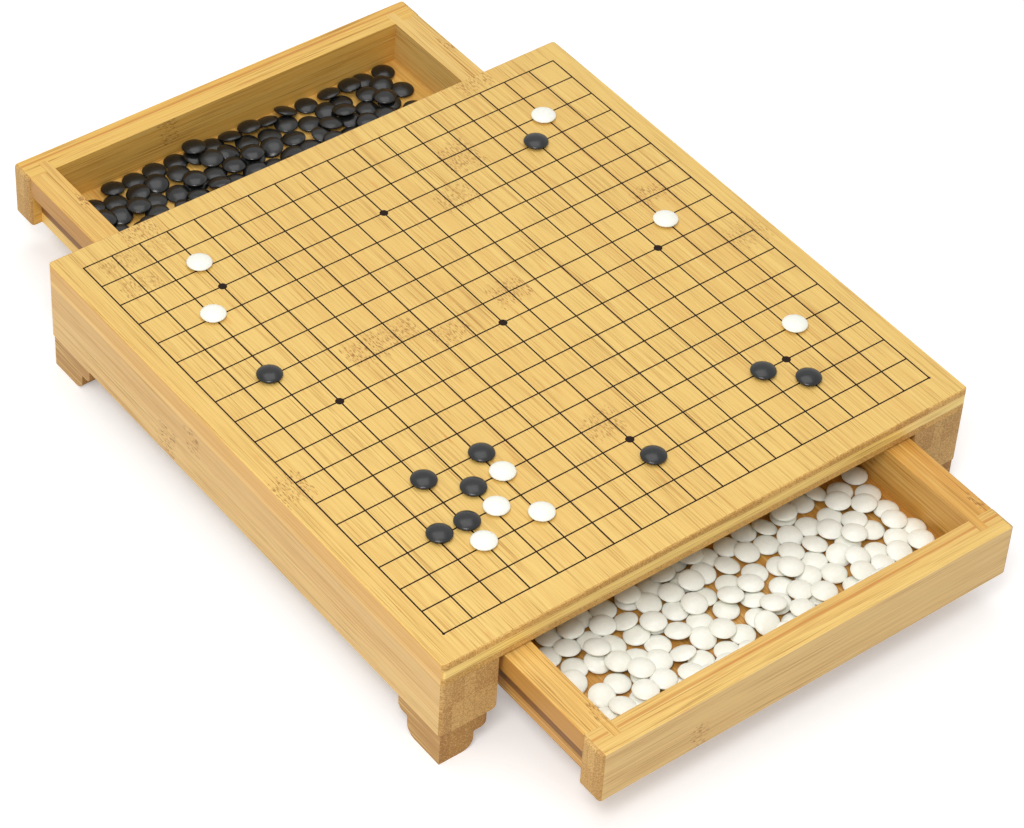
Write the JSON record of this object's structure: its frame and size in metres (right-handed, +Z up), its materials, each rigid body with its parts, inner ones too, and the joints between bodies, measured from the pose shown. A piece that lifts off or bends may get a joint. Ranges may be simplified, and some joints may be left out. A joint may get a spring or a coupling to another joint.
{
  "type": "go board with stone drawers",
  "caption": "Footed laminated bamboo go board whose two stone drawers slide out of opposite ends on hidden runners, with black and white stones.",
  "frame": {"origin": "On the table under the middle of the whole object as pictured, with both drawers pulled out.", "axes": "+X to the right across the board, +Y from the front (white stones) end to the rear (black stones) end, +Z up."},
  "size_m": [0.466, 0.7182, 0.1056],
  "materials": {
    "bamboo": "satin",
    "white_stone": "satin",
    "black_stone": "gloss"
  },
  "bodies": {
    "root": {"playing_board": "bamboo", "rail_left": "bamboo", "rail_right": "bamboo", "centre_stretcher": "bamboo", "foot_front_left": "bamboo", "runner_front_left": "bamboo", "foot_front_right": "bamboo", "runner_front_right": "bamboo", "foot_rear_left": "bamboo", "runner_rear_left": "bamboo", "foot_rear_right": "bamboo", "runner_rear_right": "bamboo", "white_stones_on_board": "white_stone", "black_stones_on_board": "black_stone"},
    "front_drawer": {"front_drawer_front": "bamboo", "front_drawer_side_left": "bamboo", "front_drawer_side_right": "bamboo", "front_drawer_back": "bamboo", "front_drawer_bottom": "bamboo", "white_stones_in_drawer": "white_stone"},
    "rear_drawer": {"rear_drawer_front": "bamboo", "rear_drawer_side_left": "bamboo", "rear_drawer_side_right": "bamboo", "rear_drawer_back": "bamboo", "rear_drawer_bottom": "bamboo", "black_stones_in_drawer": "black_stone"}
  },
  "joints": [
    {"name": "front_drawer_slide", "type": "slide", "parent": "root", "child": "front_drawer", "axis": [0, -1, 0], "range_m": [-0.1066, 0.0584]},
    {"name": "rear_drawer_slide", "type": "slide", "parent": "root", "child": "rear_drawer", "axis": [0, 1, 0], "range_m": [-0.1306, 0.0344]}
  ]
}
